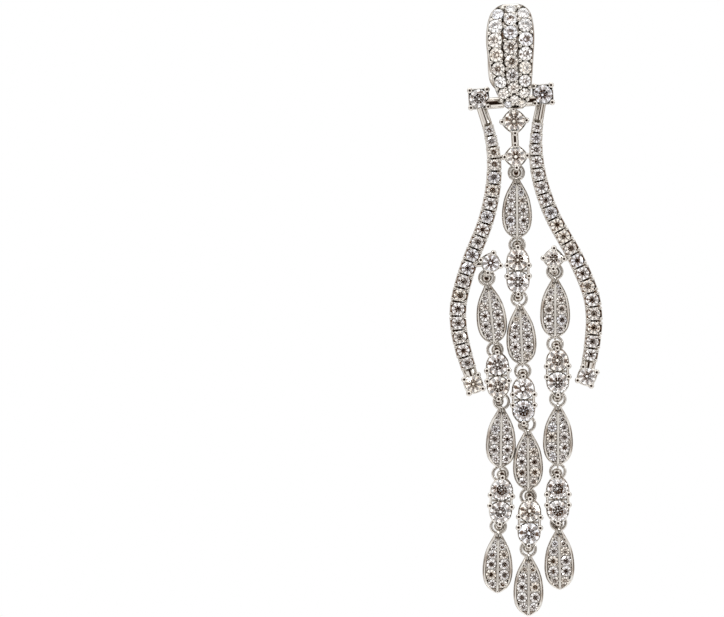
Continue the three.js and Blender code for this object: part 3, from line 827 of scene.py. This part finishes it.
# on the ear side: the post, the lug round the clasp's pin and the loop that the drop's pin turns in
earSide = {
    "post": 0.4, "postRoot": -0.3, "postEnd": 9.05,
    # the post's groove and rounded end: share of its radius, distance from its end
    "postTip": [(1.0, 1.0), (0.8, 0.9), (0.8, 0.7), (1.15, 0.45), (1.1, 0.15), (0.5, 0.0)],
    # closed profiles of radius and distance along the pin
    "lugHoop": [(0.5, 0.0), (0.74, 0.0), (0.8, 0.06), (0.8, 0.94), (0.74, 1.0), (0.5, 1.0)],
    "lugPlace": (-0.5, 0.95, -6.95),
    "dropHoop": [(0.44, -0.65), (0.6, -0.65), (0.65, -0.6), (0.65, 0.6), (0.6, 0.65), (0.44, 0.65)],
    # blocks that join them to the tongue: depth, height, half width, half height
    "lugFoot": (0.1, -6.95, 0.45, 0.5), "dropFoot": (0.3, hingePoint.z + 0.35, 0.5, 0.32),
}


def tongueRows():
    return smoothPath(tongue["sections"], 6)


def tongueAt(height):
    rows = tongueRows()[::-1]
    return [float(np.interp(height, rows[:, 0], rows[:, i])) for i in (1, 2, 3)]


def tongueBow(height):
    # the paved piece bows a little to the left between its ends
    top, bottom = tongue["sections"][0][0], tongue["sections"][-1][0]
    return -tongue["bow"] * math.sin(math.pi * (top - height) / (top - bottom))


def tongueOut(x, height):
    half, front, back = tongueAt(height)
    share = min(abs(x) / half, 0.999)
    bulge = (1 - share ** tongue["power"]) ** (1 / tongue["power"])
    return (front + back) / 2 + (front - back) / 2 * bulge


def tongueSection(height, half, front, back):
    p = tongue["power"]
    middle, deep = (front + back) / 2, (front - back) / 2
    ends = min(1.0, max(0.0, min(2.6 - height, height + 9.74) / 0.35))
    recess = min(tongue["recess"], 0.55 * (front - back)) * ends
    rim = min(tongue["rim"], half * 0.15)
    ring = []
    for angle in np.linspace(math.pi, 2 * math.pi, 17):
        c, s = math.cos(angle), math.sin(angle)
        across, out = (math.copysign(abs(share) ** (2 / p), share) for share in (c, s))
        ring.append((half * across, middle + deep * out))
    surface = lambda x: middle + deep * (1 - min(abs(x) / half, 1.0) ** p) ** (1 / p)
    inner = half - rim
    sinks = [(half * 0.992, 0.0), (half - rim * 0.5, 0.0), (inner, 0.0), (inner - 0.03, recess)]
    sinks += [(inner * share, recess) for share in (0.85, 0.65, 0.42, 0.2)]
    right = [(x, surface(x) - sunk) for x, sunk in sinks]
    left = [(-x, out) for x, out in reversed(right)]
    ring += right + [(0.0, surface(0.0) - recess)] + left
    bow = tongueBow(height)
    return [(x + bow, height, out) for x, out in ring]


def tongueStones():
    # a centre column and two side columns half a pitch lower, with stones that follow the width
    spots = []
    height = tongue["top"]
    while height > tongue["last"]:
        diameter = tongue["stoneShare"] * tongueAt(height)[0]
        spots.append((0.0, height, diameter))
        pitch = diameter + tongue["gap"]
        between = height - pitch / 2
        half = tongueAt(between)[0]
        small = tongue["stoneShare"] * half
        reach = half - tongue["rim"] - tongue["gap"] / 3 - small / 2
        if between > tongue["last"]:
            spots += [(reach, between, small), (-reach, between, small)]
        height -= pitch
    return spots


def surfacePlace(base, x, height, sink):
    step = 0.08
    out = tongueOut(x, height)
    acrossSlope = (tongueOut(x + step, height) - tongueOut(x - step, height)) / (2 * step)
    upSlope = (tongueOut(x, height + step) - tongueOut(x, height - step)) / (2 * step)
    normal = Vector((-acrossSlope, -upSlope, 1)).normalized()
    turnTo = normal.to_track_quat("Z", "Y").to_matrix().to_4x4()
    return base @ Matrix.Translation(Vector((x + tongueBow(height), height, out)) - normal * sink) @ turnTo


def addTongue():
    lean = math.radians(tongue["lean"])
    base = facingFrame(Vector((0, 0, 0)), Vector((-math.sin(lean), 0, math.cos(lean))))
    metal, stones = newShape(), newShape()
    addPart(metal, sweep([tongueSection(*row) for row in tongueRows()]), base)
    spots = tongueStones()
    for x, height, diameter in spots:
        radius = diameter / 2
        edge = radius + tongue["cupLip"]
        profile = [(edge, 0.0), (edge - 0.03, 0.04), (radius * 0.98, 0.02), (radius * 0.6, -0.5),
                   (radius * 0.9, -0.5), (edge, -0.25)]
        addPart(metal, turnedRing(profile, 24), surfacePlace(base, x, height, 0.03))
        lay = surfacePlace(base, x, height, -0.02) @ setByHand(random.uniform(0, math.pi / 4), 4)
        addPart(stones, brilliantCut(diameter, eachCut()), lay, stoneShade())
    grains = set()
    for i, (x0, y0, d0) in enumerate(spots):
        for x1, y1, d1 in spots[i + 1:]:
            gap = math.hypot(x1 - x0, y1 - y0)
            if gap > (d0 + d1) / 2 + 0.45:
                continue
            mx, my = (x0 + x1) / 2, (y0 + y1) / 2
            nx, ny = (y1 - y0) / gap, (x0 - x1) / gap
            for away in (-0.29 * gap, 0.29 * gap):
                # against the rim the gap lies further out than between three stones
                outward = x0 * x1 > 0 and (mx + nx * away) * mx > mx * mx
                gx, gy = mx + nx * away * (1.45 if outward else 1.0), my + ny * away
                if abs(gx) < tongueAt(gy)[0] - tongue["rim"]:
                    grains.add((round(gx, 2), round(gy, 2)))
    kept = []
    for gx, gy in sorted(grains):
        if all(math.hypot(gx - kx, gy - ky) > 0.3 for kx, ky in kept):
            kept.append((gx, gy))
    for gx, gy in kept:
        addPart(metal, bead(tongue["bead"], -0.3, 0.2, 8), surfacePlace(base, gx, gy, 0.0))
    post = earSide["post"]
    rows = [(post, earSide["postRoot"])]
    rows += [(post * share, earSide["postEnd"] - fromEnd) for share, fromEnd in earSide["postTip"]]
    backward = Matrix.Rotation(-math.pi / 2, 4, "X")
    addPart(metal, turned(rows, 20), backward)
    lugPlace = Matrix.Translation(earSide["lugPlace"]) @ Matrix.Rotation(math.pi / 2, 4, "Y")
    addPart(metal, turnedRing(earSide["lugHoop"], 28), lugPlace)
    toHinge = Vector((0, 0, 1)).rotation_difference(hingeAlong).to_matrix().to_4x4()
    addPart(metal, turnedRing(earSide["dropHoop"], 28), Matrix.Translation(hingePoint) @ toHinge)
    for depth, height, halfX, halfZ in (earSide["lugFoot"], earSide["dropFoot"]):
        foot = [[(sx * halfX, y, height + sz * halfZ) for sx, sz in ((1, 1), (-1, 1), (-1, -1), (1, -1))]
                for y in (-0.5, depth + 0.1)]
        addPart(metal, sweep(foot))
    makePiece("tongueMetal", metal, goldFinish, "clip", ["pave_clip"])
    makePiece("tongueStones", stones, diamondFinish, "clip", smoothAngle=0)


clasp = {
    "wire": 0.4,
    # right half of the closed wire loop, from its pin in the lug up behind the lobe
    "route": [(0.75, 0.95, -6.95), (1.25, 1.3, -6.95), (1.6, 3.2, -6.85), (2.1, 5.1, -5.75),
              (2.25, 5.65, -3.2), (2.1, 5.6, -0.8), (1.4, 5.45, 1.0)],
    "top": (0, 5.4, 1.7),
}


def addClasp():
    right = clasp["route"]
    route = right + [clasp["top"]] + [(-x, y, z) for x, y, z in reversed(right)]
    knots = route[-2:] + route + route[:2]
    path = smoothPath(knots, 8)[16:-16]
    shape = newShape()
    addPart(shape, wire(path[:-1], clasp["wire"], 16, loop=True))
    makePiece("claspWire", shape, goldFinish, "clip", ["clip_back"])


addTongue()
addClasp()
print("tongue and clasp made")


# floor, light and camera

studio = {
    "view": 0.45, "centre": (-17.64, -33.3), "frameWidth": 85.43, "sensor": 36.0,
    "floorDrop": 330.0, "floorRadius": 0.5, "floorColour": "#fafafa", "tentStrength": 1.5,
    # the tent's brightness by the angle from the front: a dim opening, white cloth, a dim back
    "tent": [(0, "#211711"), (15, "#2b1e16"), (22, "#7d614c"), (29, "#ffffff"), (115, "#ffffff"),
             (138, "#c2b9af"), (156, "#85786d"), (180, "#574b43")],
    # by the angle from either side, where the tent's two flaps leave a gap
    "gaps": [(0, "#372d27"), (8, "#54463c"), (13, "#b5a597"), (18, "#ffffff")],
    # folds in the cloth: how many across, the share of the cloth in shade and the shade's colour
    "foldScale": 3.2, "foldFrom": 0.36, "foldTo": 0.45, "foldColour": "#9c887a",
    # name, place and target in metres, diameter in metres, power in watts
    "softboxes": [("keySoftbox", (-0.5, -0.5, 0.6), (0, 0, -0.03), 0.12, 0.6),
                  ("fillSoftbox", (0.6, -0.3, 0.2), (0, 0, -0.03), 0.1, 0.3)],
    "roofStrength": 1.5, "roofAngle": 90,
}


def addFloor():
    mesh = bpy.data.meshes.new("floor")
    ring = outline(studio["floorRadius"], studio["floorRadius"], 0.0, 64)
    height = cadBox[0].z - studio["floorDrop"] * mm
    mesh.from_pydata([(x, y, height) for x, y, z in ring], [], [tuple(range(64))])
    material, tree = newMaterial("paleFloor")
    shader = addNode(tree, "ShaderNodeBsdfPrincipled",
                     {"Base Color": linearColour(studio["floorColour"]), "Roughness": 0.9})
    addNode(tree, "ShaderNodeOutputMaterial", links={"Surface": shader.outputs["BSDF"]})
    mesh.materials.append(material)
    floor = bpy.data.objects.new("floor", mesh)
    bpy.context.scene.collection.objects.link(floor)


def shadeByAngle(tree, cosine, rows):
    # colours by the angle in degrees whose cosine is given
    angle = addNode(tree, "ShaderNodeMath", {"operation": "ARCCOSINE"}, {0: cosine})
    share = addNode(tree, "ShaderNodeMath", {"operation": "DIVIDE", 1: math.pi}, {0: angle.outputs[0]})
    ramp = addNode(tree, "ShaderNodeValToRGB", links={"Fac": share.outputs[0]})
    stops = ramp.color_ramp.elements
    stops[0].position, stops[0].color = rows[0][0] / 180, linearColour(rows[0][1])
    stops[1].position, stops[1].color = rows[-1][0] / 180, linearColour(rows[-1][1])
    for degrees, colour in rows[1:-1]:
        stops.new(degrees / 180).color = linearColour(colour)
    return ramp.outputs["Color"]


def addTent():
    # a white light tent with a dim opening in front, which polished metal and stones need for contrast
    world = bpy.data.worlds.new("lightTent")
    bpy.context.scene.world = world
    world.use_nodes = True
    tree = world.node_tree
    tree.nodes.clear()
    way = addNode(tree, "ShaderNodeTexCoord").outputs["Generated"]
    parts = addNode(tree, "ShaderNodeSeparateXYZ", links={0: way})
    front = addNode(tree, "ShaderNodeMath", {"operation": "MULTIPLY", 1: -1.0}, {0: parts.outputs["Y"]})
    sides = addNode(tree, "ShaderNodeMath", {"operation": "ABSOLUTE"}, {0: parts.outputs["X"]})
    cloth = shadeByAngle(tree, front.outputs[0], studio["tent"])
    gaps = shadeByAngle(tree, sides.outputs[0], studio["gaps"])
    noise = addNode(tree, "ShaderNodeTexNoise",
                    {"Scale": studio["foldScale"], "Detail": 1.0}, {"Vector": way})
    folds = addNode(tree, "ShaderNodeValToRGB", links={"Fac": noise.outputs["Fac"]})
    stops = folds.color_ramp.elements
    stops[0].position, stops[0].color = studio["foldFrom"], linearColour(studio["foldColour"])
    stops[1].position, stops[1].color = studio["foldTo"], (1, 1, 1, 1)
    colour = cloth
    for shade in (gaps, folds.outputs["Color"]):
        both = addNode(tree, "ShaderNodeMix", {"data_type": "RGBA", "blend_type": "MULTIPLY", "Factor": 1.0})
        tree.links.new(colour, both.inputs[6])
        tree.links.new(shade, both.inputs[7])
        colour = both.outputs[2]
    mixed = addNode(tree, "ShaderNodeBackground", {"Strength": studio["tentStrength"]}, {"Color": colour})
    white = addNode(tree, "ShaderNodeBackground", {"Color": (1, 1, 1, 1), "Strength": 1.0})
    seen = addNode(tree, "ShaderNodeLightPath").outputs["Is Camera Ray"]
    both = addNode(tree, "ShaderNodeMixShader", links={0: seen, 1: mixed.outputs[0], 2: white.outputs[0]})
    addNode(tree, "ShaderNodeOutputWorld", links={"Surface": both.outputs[0]})


def addSoftbox(name, place, target, size, power):
    data = bpy.data.lights.new(name, "AREA")
    data.shape, data.size, data.energy = "DISK", size, power
    lamp = bpy.data.objects.new(name, data)
    bpy.context.scene.collection.objects.link(lamp)
    lamp.location = place
    lamp.rotation_mode = "QUATERNION"
    lamp.rotation_quaternion = (Vector(target) - Vector(place)).to_track_quat("-Z", "Y")


def addTopLight():
    # the tent's lit roof, so soft that it throws no edge
    data = bpy.data.lights.new("tentRoof", "SUN")
    data.energy, data.angle = studio["roofStrength"], math.radians(studio["roofAngle"])
    lamp = bpy.data.objects.new("tentRoof", data)
    bpy.context.scene.collection.objects.link(lamp)


def addCamera():
    data = bpy.data.cameras.new("camera")
    data.sensor_width = studio["sensor"]
    data.lens = studio["sensor"] * studio["view"] / (studio["frameWidth"] * mm)
    data.clip_start, data.clip_end = 0.01, 10
    camera = bpy.data.objects.new("camera", data)
    bpy.context.scene.collection.objects.link(camera)
    x, z = studio["centre"]
    camera.location = (x * mm, -studio["view"], z * mm)
    camera.rotation_euler = (math.pi / 2, 0, 0)
    bpy.context.scene.camera = camera


addFloor()
addTent()
for row in studio["softboxes"]:
    addSoftbox(*row)
addTopLight()
addCamera()
bpy.context.scene.view_settings.view_transform = "Standard"
print("studio made")
